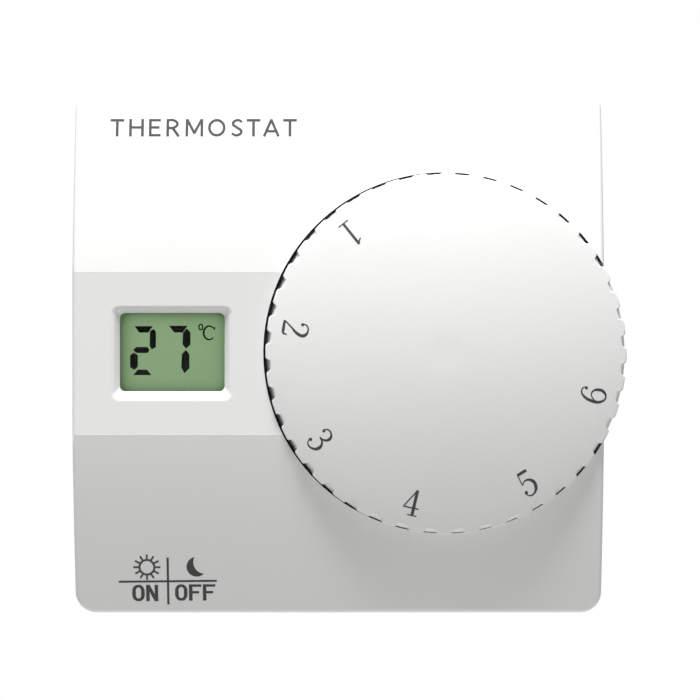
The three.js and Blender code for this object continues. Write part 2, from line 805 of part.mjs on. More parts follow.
const thermostat = new THREE.Group();
const wallBase = new THREE.Group();
const bodyUnit = new THREE.Group();
const dial = new THREE.Group();
const modeSwitch = new THREE.Group();
dial.position.set(dialX, 0, dialZ);
thermostat.add(wallBase, bodyUnit, dial, modeSwitch);

wallBase.add(
  piece("wall_plate", wallPlate(), colours.inner, 0.5),
  piece("terminal_block", terminalBlock(), colours.black, 0.55),
);
terminalPlaces.forEach((x, i) => {
  const number = i + 1;
  const cageMesh = piece(`terminal_cage_${number}`, terminalCage(), colours.brass, 0.35, 1);
  const screwMesh = piece(`terminal_screw_${number}`, frontScrew(terminalScrew), colours.steel, 0.35, 1);
  const socketMesh = piece(`socket_contact_${number}`, socketContact(), colours.brass, 0.35, 1);
  cageMesh.position.set(x, 0, cageZ);
  screwMesh.position.set(x, -cage.front, cageZ);
  socketMesh.position.set(x, 0, socketZ);
  wallBase.add(cageMesh, screwMesh, socketMesh);
});

bodyUnit.add(
  piece("front_cover", frontCover(), colours.shell, 0.45),
  piece("rear_cover", rearCover(), colours.inner, 0.5),
  piece("window_lens", windowLens(), 0xeef3f2, 0.05),
  piece("lcd_front_glass", displayLayer(frontGlassHeight, frontGlassFront, glassThickness), 0xa9b9a2, 0.1),
  piece("lcd_rear_glass", displayLayer(rearGlassHeight, rearGlassFront, glassThickness), 0x93a78b, 0.15),
  piece("lcd_reflector", displayLayer(rearGlassHeight, reflectorFront, reflectorThickness), 0x88a47c, 0.4),
  piece("lcd_holder", lcdHolder(), colours.inner, 0.5),
  piece("zebra_strip_upper", zebraStrip(1), 0x4a4a4c, 0.8),
  piece("zebra_strip_lower", zebraStrip(-1), 0x4a4a4c, 0.8),
  piece("circuit_board", circuitBoard(), colours.board, 0.45),
);

bodyUnit.add(
  piece("relay", onBoard(boardParts.relay), 0x2b4a86, 0.5),
  piece("microcontroller", onBoard(boardParts.microcontroller), colours.black, 0.6),
  piece("crystal", crystal(), colours.steel, 0.3, 1),
  piece("capacitor", capacitor(), 0x2a3c66, 0.35),
  piece("thermistor", thermistor(), 0x3a2c1e, 0.5),
  piece("slide_switch_housing", slideSwitchHousing(), colours.steel, 0.35, 1),
);

const potentiometerPieces = [
  piece("potentiometer_housing", potentiometerHousing(), colours.black, 0.5),
  piece("potentiometer_track", potentiometerTrack(), 0x6b4a2c, 0.5),
];
for (const mesh of potentiometerPieces) {
  mesh.position.set(dialX, 0, dialZ);
  bodyUnit.add(mesh);
}

// Cell 1 has its nub to the left, cell 2 to the right. A spring stands behind each.
const bayEnd = bayLength / 2;
const cellEnd = bayEnd - batteryPlate - 2 * gap;
cellRows.forEach((z, i) => {
  const facing = i === 0 ? -1 : 1;
  const cellMesh = piece(`battery_cell_${i + 1}`, cell(), 0x2e3f33, 0.4);
  const springMesh = piece(`battery_spring_${i + 1}`, batterySpring(), colours.steel, 0.3, 1);
  cellMesh.position.set(bayX + facing * (cellEnd - cellLength), -cellDepth, z);
  cellMesh.rotation.y = facing < 0 ? Math.PI : 0;
  springMesh.position.set(bayX - facing * cellEnd, -cellDepth, z);
  springMesh.rotation.y = facing < 0 ? Math.PI : 0;
  bodyUnit.add(cellMesh, springMesh);
});

const plateX = bayEnd - gap - batteryPlate / 2;
const plateHeight = cellDiameter - 2;
const plateDepths = [cellDepth - plateHeight / 2, cellDepth + plateHeight / 2];
const batteryPlateAt = (side, z, height) =>
  block(bayX + side * plateX, z, batteryPlate, height, ...plateDepths);
bodyUnit.add(
  piece("battery_plate_positive", batteryPlateAt(-1, cellRows[0], plateHeight), colours.steel, 0.3, 1),
  piece("battery_plate_negative", batteryPlateAt(-1, cellRows[1], plateHeight), colours.steel, 0.3, 1),
  piece("battery_link_plate", batteryPlateAt(1, bayZ, plateHeight + cellDiameter), colours.steel, 0.3, 1),
);

corners.forEach(([sx, sz], i) => {
  const mesh = piece(`case_screw_${i + 1}`, screw(caseScrew), colours.steel, 0.35, 1);
  mesh.position.set(sx * screwX, -rearCoverBack, sz * screwZ);
  bodyUnit.add(mesh);
});
boardScrewPlaces.forEach(([x, z], i) => {
  const mesh = piece(`board_screw_${i + 1}`, screw(boardScrew), colours.steel, 0.35, 1);
  mesh.position.set(x, -boardBack, z);
  bodyUnit.add(mesh);
});
terminalPlaces.forEach((x, i) => {
  const blade = block(x, socketZ, bladeWidth, bladeThickness, bladeBack, partsFront);
  bodyUnit.add(piece(`contact_blade_${i + 1}`, blade, colours.brass, 0.35, 1));
});

dial.add(
  piece("control_dial", dialKnob(), colours.shell, 0.45),
  piece("potentiometer_shaft", potentiometerShaft(), colours.inner, 0.5),
  piece("potentiometer_wiper", turned([
    [shaftRadius + gap, wiperFront - wiperThickness],
    [wiperRadius, wiperFront - wiperThickness],
    [wiperRadius, wiperFront],
    [shaftRadius + gap, wiperFront],
    [shaftRadius + gap, wiperFront - wiperThickness],
  ]), colours.brass, 0.4, 1),
);

modeSwitch.add(
  piece("mode_slider", modeSlider(), colours.shell, 0.45),
  piece("switch_lever", switchLever(), colours.black, 0.5),
);

export default thermostat;
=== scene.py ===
import json
import math
import bpy
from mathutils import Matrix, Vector


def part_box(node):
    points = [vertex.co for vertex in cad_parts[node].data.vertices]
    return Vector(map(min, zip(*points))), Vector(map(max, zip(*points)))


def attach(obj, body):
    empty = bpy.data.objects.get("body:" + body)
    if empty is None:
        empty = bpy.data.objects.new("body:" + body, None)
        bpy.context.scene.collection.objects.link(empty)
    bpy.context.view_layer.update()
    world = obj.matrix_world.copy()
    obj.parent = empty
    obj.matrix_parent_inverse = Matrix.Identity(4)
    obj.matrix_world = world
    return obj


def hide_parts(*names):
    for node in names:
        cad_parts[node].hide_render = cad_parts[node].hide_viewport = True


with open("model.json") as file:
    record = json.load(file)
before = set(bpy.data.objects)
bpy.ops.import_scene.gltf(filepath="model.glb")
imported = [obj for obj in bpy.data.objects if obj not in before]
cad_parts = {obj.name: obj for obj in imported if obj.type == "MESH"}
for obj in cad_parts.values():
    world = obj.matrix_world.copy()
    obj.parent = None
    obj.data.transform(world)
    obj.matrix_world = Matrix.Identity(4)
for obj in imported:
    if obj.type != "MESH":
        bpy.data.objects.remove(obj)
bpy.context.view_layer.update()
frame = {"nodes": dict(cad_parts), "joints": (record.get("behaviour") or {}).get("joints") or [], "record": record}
mm = 0.001
tiny = 1e-6
shellLow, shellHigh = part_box("front_cover")
windowLow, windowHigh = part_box("window_lens")
dialAxis = next(Vector(j["pos_m"]) for j in frame["joints"] if j["name"] == "dial_turn")


# selecting and shaping

def objectMode():
    if bpy.context.object and bpy.context.object.mode != "OBJECT":
        bpy.ops.object.mode_set(mode="OBJECT")


def makeActive(piece):
    objectMode()
    bpy.ops.object.select_all(action="DESELECT")
    piece.select_set(True)
    bpy.context.view_layer.objects.active = piece


def newPiece(name):
    # the primitive that was just added becomes a named piece with its place in its mesh
    objectMode()
    piece = bpy.context.object
    piece.name = name
    piece.data.name = name
    makeActive(piece)
    bpy.ops.object.transform_apply(location=True, rotation=True, scale=True)
    return piece


def pick(piece, test, kind="VERT"):
    # selects vertices by place, edges by their two ends, or faces by the face, then goes into edit mode
    makeActive(piece)
    bpy.context.tool_settings.mesh_select_mode = (kind == "VERT", kind == "EDGE", kind == "FACE")
    mesh = piece.data
    places = mesh.vertices
    for items in (mesh.vertices, mesh.edges, mesh.polygons):
        items.foreach_set("select", [False] * len(items))
    if kind == "VERT":
        chosen = [vertex for vertex in places if test(vertex.co)]
    elif kind == "EDGE":
        chosen = [edge for edge in mesh.edges if test(*(places[i].co for i in edge.vertices))]
    else:
        chosen = [face for face in mesh.polygons if test(face)]
    for item in chosen:
        item.select = True
        for i in getattr(item, "vertices", ()):
            places[i].select = True
    bpy.ops.object.mode_set(mode="EDIT")
    return len(chosen)


def pickAll(piece):
    makeActive(piece)
    bpy.ops.object.mode_set(mode="EDIT")
    bpy.ops.mesh.select_all(action="SELECT")


def box(name, low, high):
    # a cube between two corners
    low, high = Vector(low), Vector(high)
    objectMode()
    bpy.ops.object.select_all(action="DESELECT")
    bpy.ops.mesh.primitive_cube_add(size=1, location=(low + high) / 2, scale=high - low)
    return newPiece(name)


def block(name, x, z, width, height, back, front):
    # a cube centred on x and z between two distances from the wall
    return box(name, (x - width / 2, -front, z - height / 2), (x + width / 2, -back, z + height / 2))


def rod(name, x, z, radius, back, front, sides=64):
    # a cylinder between two distances from the wall
    objectMode()
    bpy.ops.object.select_all(action="DESELECT")
    bpy.ops.mesh.primitive_cylinder_add(vertices=sides, radius=radius, depth=front - back,
                                        location=(x, -(back + front) / 2, z), rotation=(math.pi / 2, 0, 0))
    return newPiece(name)


def applied(piece, kind, **settings):
    makeActive(piece)
    modifier = piece.modifiers.new(kind.title(), kind)
    for key, value in settings.items():
        setattr(modifier, key, value)
    bpy.ops.object.modifier_apply(modifier=modifier.name)
    return piece


def copyOf(piece, name):
    other = piece.copy()
    other.data = piece.data.copy()
    other.name = name
    bpy.context.scene.collection.objects.link(other)
    return other


def joined(name, pieces):
    makeActive(pieces[0])
    for other in pieces[1:]:
        other.select_set(True)
    bpy.ops.object.join()
    pieces[0].name = name
    pieces[0].data.name = name
    return pieces[0]


def carve(piece, *cutters, operation="DIFFERENCE"):
    for cutter in cutters:
        applied(piece, "BOOLEAN", object=cutter, operation=operation, solver="EXACT", use_self=True)
        bpy.data.objects.remove(cutter, do_unlink=True)
    return piece


def weighted(piece, degrees=35):
    makeActive(piece)
    bpy.ops.object.shade_smooth_by_angle(angle=math.radians(degrees))
    return applied(piece, "WEIGHTED_NORMAL", keep_sharp=True, weight=60)


def beveledAlong(piece, test, width, steps):
    if pick(piece, test, "EDGE"):
        bpy.ops.mesh.bevel(offset=width, segments=steps, affect="EDGES", clamp_overlap=False)
    objectMode()


def settle(piece, body, slotName, *nodes, material=None):
    # the finished piece rides on its body, takes its slot's finish and stands for its CAD nodes
    objectMode()
    piece.data.materials.clear()
    piece.data.materials.append(material or finishes[slotName])
    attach(piece, body)
    if nodes:
        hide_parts(*nodes)
    return piece


# camera and light

view = {
    "distance": 499.5 * mm,   # from the deepest line of the case
    "lens": 159,
    "aside": 1.9 * mm,
    "height": 0.05 * mm,
}


def makeCamera():
    data = bpy.data.cameras.new("camera")
    data.lens = view["lens"]
    data.sensor_width = 36
    data.clip_start = 0.01
    camera = bpy.data.objects.new("camera", data)
    camera.location = (view["aside"], shellLow.y - view["distance"], view["height"])
    camera.rotation_euler = (math.pi / 2, 0, 0)
    bpy.context.scene.collection.objects.link(camera)
    bpy.context.scene.camera = camera


lightSet = {
    "key": {"place": (-0.06, -0.36, 1.14), "size": 0.6, "watts": 24.6},
    "back": {"place": (0.5, 0.9, 0.7), "size": 0.8, "watts": 3.0},
}


def makeLights():
    for name, values in lightSet.items():
        data = bpy.data.lights.new(name, "AREA")
        data.shape = "DISK"
        data.size = values["size"]
        data.energy = values["watts"]
        lamp = bpy.data.objects.new(name, data)
        lamp.location = values["place"]
        lamp.rotation_euler = (Vector((0, 0, 0)) - lamp.location).to_track_quat("-Z", "Y").to_euler()
        bpy.context.scene.collection.objects.link(lamp)


def makeWorld():
    # the camera sees plain white; the light that the surroundings give is softer
    world = bpy.data.worlds.new("studio")
    bpy.context.scene.world = world
    world.use_nodes = True
    tree = world.node_tree
    shade = tree.nodes["Background"]
    plain = tree.nodes.new("ShaderNodeBackground")
    seen = tree.nodes.new("ShaderNodeLightPath")
    either = tree.nodes.new("ShaderNodeMixShader")
    shade.inputs["Color"].default_value = (1, 1, 1, 1)
    shade.inputs["Strength"].default_value = 0.31
    plain.inputs["Color"].default_value = (1, 1, 1, 1)
    plain.inputs["Strength"].default_value = 1.0
    tree.links.new(seen.outputs["Is Camera Ray"], either.inputs["Fac"])
    tree.links.new(shade.outputs[0], either.inputs[1])
    tree.links.new(plain.outputs[0], either.inputs[2])
    tree.links.new(either.outputs[0], tree.nodes["World Output"].inputs["Surface"])
    bpy.context.scene.view_settings.view_transform = "Standard"


def makeFloor():
    bpy.ops.object.select_all(action="DESELECT")
    bpy.ops.mesh.primitive_circle_add(vertices=96, radius=0.45, fill_type="NGON", location=(0, 0, -0.33))
    floor = newPiece("floor")
    floor.data.materials.append(floorMaterial())


# shader expressions

class Wire:
    # wraps a socket so that shader maths reads as an expression
    def __init__(self, shader, socket):
        self.shader = shader
        self.socket = socket

    def maths(self, operation, first, second=0.0):
        return self.shader.add("ShaderNodeMath", {"operation": operation}, {0: first, 1: second})

    def alone(self, operation):
        # for an operation on one value
        return self.shader.add("ShaderNodeMath", {"operation": operation}, {0: self})

    def __add__(self, other):
        return self.maths("ADD", self, other)

    def __radd__(self, other):
        return self.maths("ADD", other, self)

    def __sub__(self, other):
        return self.maths("SUBTRACT", self, other)

    def __rsub__(self, other):
        return self.maths("SUBTRACT", other, self)

    def __mul__(self, other):
        return self.maths("MULTIPLY", self, other)

    def __rmul__(self, other):
        return self.maths("MULTIPLY", other, self)

    def __truediv__(self, other):
        return self.maths("DIVIDE", self, other)

    def __gt__(self, other):
        return self.maths("GREATER_THAN", self, other)

    def __lt__(self, other):
        return self.maths("LESS_THAN", self, other)


class Shader:
    def __init__(self, name):
        self.material = bpy.data.materials.new(name)
        self.material.use_nodes = True
        self.nodes = self.material.node_tree.nodes
        self.links = self.material.node_tree.links
        self.surface = self.nodes["Principled BSDF"]

    def put(self, socket, value):
        if isinstance(value, Wire):
            self.links.new(value.socket, socket)
        elif isinstance(value, (tuple, list)) and len(value) == 3 and socket.type == "RGBA":
            socket.default_value = (*value, 1)
        else:
            socket.default_value = value

    def add(self, kind, settings=None, inputs=None, output=0):
        node = self.nodes.new(kind)
        for key, value in (settings or {}).items():
            if key == "stops":
                ramp = node.color_ramp
                while len(ramp.elements) < len(value):
                    ramp.elements.new(1)
                for element, (place, colour) in zip(ramp.elements, value):
                    element.position = place
                    element.color = (*colour, 1)
            else:
                setattr(node, key, value)
        for key, value in (inputs or {}).items():
            self.put(node.inputs[key], value)
        return Wire(self, node.outputs[output])

    def place(self):
        return self.add("ShaderNodeTexCoord", output="Object")

    def noise(self, scale, detail=2.0, roughness=0.5, where=None):
        values = {"Vector": where or self.place(), "Scale": scale, "Detail": detail, "Roughness": roughness}
        return self.add("ShaderNodeTexNoise", {}, values)

    def blend(self, amount, low, high):
        # mixes two colours
        node = self.nodes.new("ShaderNodeMix")
        node.data_type = "RGBA"
        self.put(node.inputs[0], amount)
        self.put(node.inputs[6], low)
        self.put(node.inputs[7], high)
        return Wire(self, node.outputs[2])

    def between(self, value, low, high, start=0.0, end=1.0):
        return self.add("ShaderNodeMapRange", {}, {0: value, 1: start, 2: end, 3: low, 4: high})

    def bump(self, height, distance, strength=1.0, onto=None):
        inputs = {"Height": height, "Distance": distance, "Strength": strength}
        if onto:
            inputs["Normal"] = onto
        return self.add("ShaderNodeBump", {}, inputs)

    def axes(self, where=None):
        node = self.nodes.new("ShaderNodeSeparateXYZ")
        self.put(node.inputs[0], where or self.place())
        return [Wire(self, node.outputs[i]) for i in range(3)]

    def set(self, **values):
        names = {"colour": "Base Color", "roughness": "Roughness", "metal": "Metallic", "normal": "Normal",
                 "alpha": "Alpha", "coat": "Coat Weight", "coatRoughness": "Coat Roughness", "ior": "IOR",
                 "transmission": "Transmission Weight", "sheen": "Sheen Weight",
                 "emission": "Emission Color", "glow": "Emission Strength", "specular": "Specular IOR Level"}
        for key, value in values.items():
            self.put(self.surface.inputs[names[key]], value)
        return self.material


def floorMaterial():
    shader = Shader("floorPaint")
    mottle = shader.noise(6, 4)
    return shader.set(colour=shader.blend(mottle, (0.66, 0.66, 0.65), (0.72, 0.72, 0.71)), roughness=0.7)


def mouldedPlastic(name, colour, shade, roughness, grain=0.004):
    # satin moulded plastic: fine spark-eroded grain, a slow mottle and slightly polished patches
    shader = Shader(name)
    mottle = shader.noise(60, 3)
    fine = shader.noise(5200, 2, 0.6)
    patches = shader.noise(210, 4)
    return shader.set(
        colour=shader.blend(shader.between(mottle, 0.0, 1.0, 0.3, 0.7), colour, shade),
        roughness=shader.between(patches, roughness - 0.05, roughness + 0.06, 0.3, 0.7),
        normal=shader.bump(fine, grain * mm, 0.5),
    )


def printingInk():
    # screen print: uneven cover on a satin base
    shader = Shader("printingInk")
    cover = shader.noise(900, 4, 0.6)
    return shader.set(
        colour=shader.blend(shader.between(cover, 0, 1, 0.35, 0.7), (0.05, 0.05, 0.05),
                            (0.075, 0.075, 0.073)),
        roughness=shader.between(cover, 0.5, 0.62, 0.3, 0.7),
        normal=shader.bump(shader.noise(4000, 2), 0.002 * mm, 0.4),
    )


def segmentFilm():
    # switched-on liquid crystal: nearly black with a faint mottle
    shader = Shader("segmentFilm")
    mottle = shader.noise(1500, 3)
    return shader.set(colour=shader.blend(mottle, (0.004, 0.004, 0.003), (0.008, 0.007, 0.006)),
                      roughness=shader.between(mottle, 0.5, 0.65), specular=0.15)


def clearPlastic(name, tint, least, most, roughness):
    # polished clear window: faint wiping marks lift its cover here and there
    shader = Shader(name)
    wipe = shader.noise(140, 5, 0.65)
    fine = shader.noise(1800, 2)
    return shader.set(
        colour=shader.blend(wipe, tint, [0.9 * c for c in tint]),
        alpha=shader.between(wipe, least, most, 0.35, 0.7),
        roughness=shader.between(fine, roughness, roughness + 0.05),
        normal=shader.bump(wipe, 0.004 * mm, 0.3),
        specular=0.35,
    )


def glowingReflectorWithPaintedEdgeShade():
    # green reflector seen through the polarisers: it glows by emission though it is no lamp, and painted shade
    # darkens it along its four edges where the window's bevels shade it
    shader = Shader("glowingReflectorWithPaintedEdgeShade")
    x, _, z = shader.axes()
    across = ((x - windowMiddle.x) / (window["width"] / 2)).alone("ABSOLUTE")
    upward = ((z - windowMiddle.z) / (window["height"] / 2)).alone("ABSOLUTE")
    # painted shade mask: strongest at the window's edges
    edge = across.maths("POWER", across, 9) + upward.maths("POWER", upward, 7)
    grain = shader.noise(2600, 2)
    plain = shader.blend(grain, (0.245, 0.375, 0.197), (0.256, 0.388, 0.206))
    # painted shade: towards the edges the colour turns dark green, standing in for the shadow of the bevels
    shade = shader.blend(shader.between(edge, 0, 1, 0, 1.3), plain, (0.08, 0.135, 0.066))
    # painted light: the shaded colour is also given as emission, so the film glows instead of being lit
    return shader.set(colour=shade, emission=shade, glow=1.03, specular=0.1,
                      roughness=shader.between(grain, 0.5, 0.6),
                      normal=shader.bump(grain, 0.003 * mm, 0.3))


def solderMask():
    # green lacquer over copper tracks: straight runs on a fine grid show paler and stand up a little
    shader = Shader("solderMask")
    runs = shader.add("ShaderNodeTexBrick", {"offset": 0.5}, {
        "Vector": shader.place(), "Scale": 190, "Mortar Size": 0.09, "Color1": (0, 0, 0), "Color2": (0, 0, 0),
        "Mortar": (1, 1, 1)})
    gate = shader.noise(60, 2) > 0.5
    track = runs * gate
    gloss = shader.noise(240, 4)
    plain = shader.blend(gloss, (0.016, 0.085, 0.032), (0.024, 0.11, 0.042))
    return shader.set(colour=shader.blend(track, plain, (0.05, 0.2, 0.085)),
                      roughness=shader.between(gloss, 0.2, 0.34), normal=shader.bump(track, 0.03 * mm, 0.5))


def metal(name, colour, shade, roughness, direction):
    # plated metal: fine drawn lines, cloudy plating and a few duller patches
    shader = Shader(name)
    stretched = shader.add("ShaderNodeMapping", {}, {"Vector": shader.place(), "Scale": direction})
    lines = shader.noise(2200, 3, 0.6, where=stretched)
    cloud = shader.noise(160, 4)
    wear = lines * 0.6 + cloud * 0.4
    return shader.set(colour=shader.blend(cloud, colour, shade), metal=1.0,
                      roughness=shader.between(wear, roughness - 0.08, roughness + 0.12, 0.3, 0.7),
                      normal=shader.bump(lines, 0.004 * mm, 0.5))


def printedSleeve(name, colour, band, gap):
    # shrink sleeve: glossy film with plain printed bands and slight wrinkles
    shader = Shader(name)
    x, _, z = shader.axes()
    wrinkle = shader.noise(420, 4, 0.6)
    stripe = (x * (1 / gap)).alone("FRACT") < 0.22
    film = shader.blend(wrinkle, colour, [0.8 * c for c in colour])
    return shader.set(colour=shader.blend(stripe, film, band),
                      roughness=shader.between(wrinkle, 0.2, 0.36), coat=0.3,
                      normal=shader.bump(wrinkle, 0.05 * mm, 0.35))


def layeredRubber():
    # zebra strip: thin conductive layers between insulating ones
    shader = Shader("layeredRubber")
    x, _, z = shader.axes()
    layer = (x * 2400).alone("FRACT") < 0.5
    dust = shader.noise(900, 3)
    return shader.set(colour=shader.blend(layer, (0.03, 0.03, 0.03), (0.11, 0.11, 0.105)),
                      roughness=shader.between(dust, 0.72, 0.85), normal=shader.bump(layer, 0.02 * mm, 0.4))


def dippedResin(name, colour, shade, roughness):
    # dipped or pressed resin: uneven gloss with small dimples
    shader = Shader(name)
    dimple = shader.noise(1300, 3)
    return shader.set(colour=shader.blend(dimple, colour, shade),
                      roughness=shader.between(dimple, roughness, roughness + 0.15),
                      normal=shader.bump(dimple, 0.03 * mm, 0.4))


makers = {
    "shell_white": lambda: mouldedPlastic("shellPlastic", (0.905, 0.905, 0.895), (0.895, 0.895, 0.888), 0.42),
    "dial_white": lambda: mouldedPlastic("dialPlastic", (0.91, 0.91, 0.90), (0.90, 0.90, 0.893), 0.4),
    "inner_white": lambda: mouldedPlastic("innerPlastic", (0.84, 0.84, 0.825), (0.82, 0.82, 0.81), 0.5),
    "window_clear": lambda: clearPlastic("windowPlastic", (0.3, 0.32, 0.31), 0.01, 0.03, 0.04),
    "lcd_glass": lambda: clearPlastic("displayGlass", (0.1, 0.14, 0.09), 0.015, 0.03, 0.06),
    "lcd_green": glowingReflectorWithPaintedEdgeShade,
    "conductive_rubber": layeredRubber,
    "board_green": solderMask,
    "black_plastic": lambda: mouldedPlastic("blackPlastic", (0.022, 0.022, 0.024), (0.03, 0.03, 0.031), 0.48,
                                            0.008),
    "relay_blue": lambda: mouldedPlastic("relayPlastic", (0.028, 0.088, 0.34), (0.022, 0.07, 0.28), 0.4,
                                         0.006),
    "sleeve_blue": lambda: printedSleeve("capacitorSleeve", (0.012, 0.028, 0.13), (0.45, 0.47, 0.5), 4 * mm),
    "cell_jacket": lambda: printedSleeve("cellSleeve", (0.018, 0.095, 0.045), (0.5, 0.43, 0.2), 14 * mm),
    "bead_brown": lambda: dippedResin("beadResin", (0.05, 0.02, 0.01), (0.08, 0.032, 0.014), 0.22),
    "track_brown": lambda: dippedResin("trackLaminate", (0.1, 0.045, 0.018), (0.13, 0.06, 0.024), 0.45),
    "steel": lambda: metal("zincPlate", (0.56, 0.57, 0.59), (0.48, 0.49, 0.51), 0.3, (1, 1, 0.06)),
    "brass": lambda: metal("tinnedBrass", (0.62, 0.43, 0.16), (0.55, 0.37, 0.13), 0.28, (1, 1, 0.06)),
}


def makeMaterials():
    slots = {entry["node"]: entry["material_slot"] for entry in frame["record"]["subparts"]}
    made = {}
    for node, thing in frame["nodes"].items():
        slotName = slots[node]
        if slotName not in made:
            made[slotName] = makers[slotName]()
        thing.data.materials.clear()
        thing.data.materials.append(made[slotName])
    return made


# the case

case = {
    "corner": 3.4 * mm,
    "edge": 0.7 * mm,          # rounding between the face and the sides
    "edgeSteps": 5,
    "wall": 2.0 * mm,
    "band": 30.762 * mm,       # the face's deepest line, beside the flat middle band
    "bandHeight": 26.2 * mm,
    "recess": 0.012 * mm,      # of the band below the slopes
    "slopeStart": math.radians(8.5),
    "slopeDrop": 7.17 * mm,    # down to the top and bottom edges
    "rows": 16,                # on each slope
    "well": 29.36 * mm,        # the round hollow that the dial turns in
    "wellAside": (-0.17 * mm, 0.1 * mm),
    "wellFloor": 22.4 * mm,
    "wellWall": 1.5 * mm,
    "shaftHole": 3.6 * mm,
    "shaftHoleBack": 15 * mm,
    "bosses": (36 * mm, 3.2 * mm, 10.4 * mm),       # place on x and z, radius, back
    "ventWidth": 1.5 * mm,
    "ventPitch": 3.2 * mm,
    "ventDepths": (11.5 * mm, 19.0 * mm),
    "topVents": (-16 * mm, 11),
    "bottomVents": (2 * mm, 9),
    "slot": (8.6 * mm, 3.4 * mm),
    "scoop": (14 * mm, 6.2 * mm, 0.7 * mm),
}
bandFace = case["band"] - case["recess"]
halfHeight = shellHigh.z
slopeRise = halfHeight - case["bandHeight"] / 2
slopeTurn = math.atan2(case["slopeDrop"], slopeRise) - case["slopeStart"]
slopeRadius = math.hypot(slopeRise, case["slopeDrop"]) / (2 * math.sin(slopeTurn))


def faceDepth(z):
    # distance of the face from the wall: a flat band, a small step at each of its edges, then bowed slopes
    rise = abs(z - dialAxis.z) - case["bandHeight"] / 2
    if rise < case["recess"]:
        return bandFace + max(rise, 0)
    start = slopeRadius * math.sin(case["slopeStart"])
    centre = case["band"] - slopeRadius * math.cos(case["slopeStart"])
    return centre + math.sqrt(slopeRadius ** 2 - (start + rise) ** 2)


def faceBlock(name, inset, back, sink, edge):
    # the case's outline, smaller by inset, with its front edge rounded and its face bent to the slopes
    front = case["band"] + 1 * mm
    half = halfHeight - inset
    side = shellHigh.x - inset
    corner = case["corner"] - inset
    piece = box(name, (-side, -front, -half), (side, -back, half))
    beveledAlong(piece, lambda a, b: abs(a.y - b.y) > mm, corner, 8)
    rows = []
    for sign in (-1, 1):
        bandEdge = dialAxis.z + sign * case["bandHeight"] / 2
        ledge = bandEdge + sign * case["recess"]
        end = sign * (half - corner - 0.05 * mm)
        rows += [bandEdge] + [ledge + (end - ledge) * i / case["rows"] for i in range(case["rows"] + 1)]
    for z in rows:
        pickAll(piece)
        bpy.ops.mesh.bisect(plane_co=(0, 0, z), plane_no=(0, 0, 1), threshold=tiny)
    pick(piece, lambda face: face.normal.y < -0.9, "FACE")
    turns = [math.pi / 2 * i / case["edgeSteps"] for i in range(case["edgeSteps"] + 1)]
    for now, after in zip(turns, turns[1:]) if edge else ():
        bpy.ops.mesh.inset(thickness=edge * (math.cos(now) - math.cos(after)),
                           depth=edge * (math.sin(after) - math.sin(now)))
    objectMode()
    heights = {round(vertex.co.z, 7) for vertex in piece.data.vertices if vertex.co.y < -front + tiny}
    for z in sorted(heights):
        pick(piece, lambda co: co.y < -front + tiny and abs(co.z - z) < tiny / 10)
        bpy.ops.transform.translate(value=(0, front - faceDepth(z) + sink + edge, 0))
    objectMode()
    return piece


window = {
    "width": 17.0 * mm,
    "height": 12.72 * mm,
    "raised": 0.1 * mm,    # of its middle above the lens's
    "corner": 0.8 * mm,
    "side": 0.95 * mm,     # how far the bevels reach beyond the opening
    "above": 0.68 * mm,
    "below": 1.1 * mm,
    "flare": 1.25 * mm,    # how deep the bevels go
    "lip": 0.55 * mm,      # rounding between the bevels and the band
}
windowMiddle = (windowLow + windowHigh) / 2


def windowCutter():
    w, h = window["width"], window["height"]
    x, z = windowMiddle.x, windowMiddle.z + window["raised"]
    back, front = bandFace - window["flare"], bandFace + 0.01 * mm
    flare = block("flare", x, z, w, h, back, front)
    pick(flare, lambda co: co.y < -front + tiny)
    wider = 1 + 2 * window["side"] / w
    taller = 1 + (window["above"] + window["below"]) / h
    bpy.ops.transform.resize(value=(wider, 1, taller), center_override=(x, -front, z))
    bpy.ops.transform.translate(value=(0, 0, (window["above"] - window["below"]) / 2))
    beveledAlong(flare, lambda a, b: abs(a.y - b.y) > mm, window["corner"], 6)
    through = block("through", x, z, w, h, bandFace - 2 * case["wall"], back + 0.01 * mm)
    beveledAlong(through, lambda a, b: abs(a.y - b.y) > mm, window["corner"], 6)
    return joined("windowCutter", [flare, through])


def ventCutter():
    slots = []
    back, front = case["ventDepths"]
    for side, (first, count) in ((1, case["topVents"]), (-1, case["bottomVents"])):
        z = side * (halfHeight - case["wall"] / 2)
        for i in range(count):
            x = first + i * case["ventPitch"]
            slot = block("vent", x, z, case["ventWidth"], 2 * case["wall"], back, front)
            beveledAlong(slot, lambda a, b: abs(a.z - b.z) > mm, case["ventWidth"] * 0.49, 5)
            slots.append(slot)
    return joined("ventCutter", slots)


def sliderCutters():
    low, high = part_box("mode_slider")
    x = (low.x + high.x) / 2 + frameTravel("mode_switch_slide") / 2
    depth = -(low.y + high.y) / 2
    slotWidth, slotDepth = case["slot"]
    scoopWidth, scoopDepth, sink = case["scoop"]
    slot = block("slot", x, -halfHeight, slotWidth, 3 * case["wall"],
                 depth - slotDepth / 2, depth + slotDepth / 2)
    scoop = block("scoop", x, -halfHeight, scoopWidth, 2 * sink,
                  depth - scoopDepth / 2, depth + scoopDepth / 2)
    beveledAlong(scoop, lambda a, b: abs(a.z - b.z) > mm / 2, 1.2 * mm, 5)
    pick(scoop, lambda co: co.z > -halfHeight)
    bpy.ops.transform.resize(value=(0.9, 0.85, 1), center_override=(x, -depth, 0))
    objectMode()
    return slot, scoop


def frameTravel(name):
    return next(j["range_m"][1] for j in frame["joints"] if j["name"] == name)


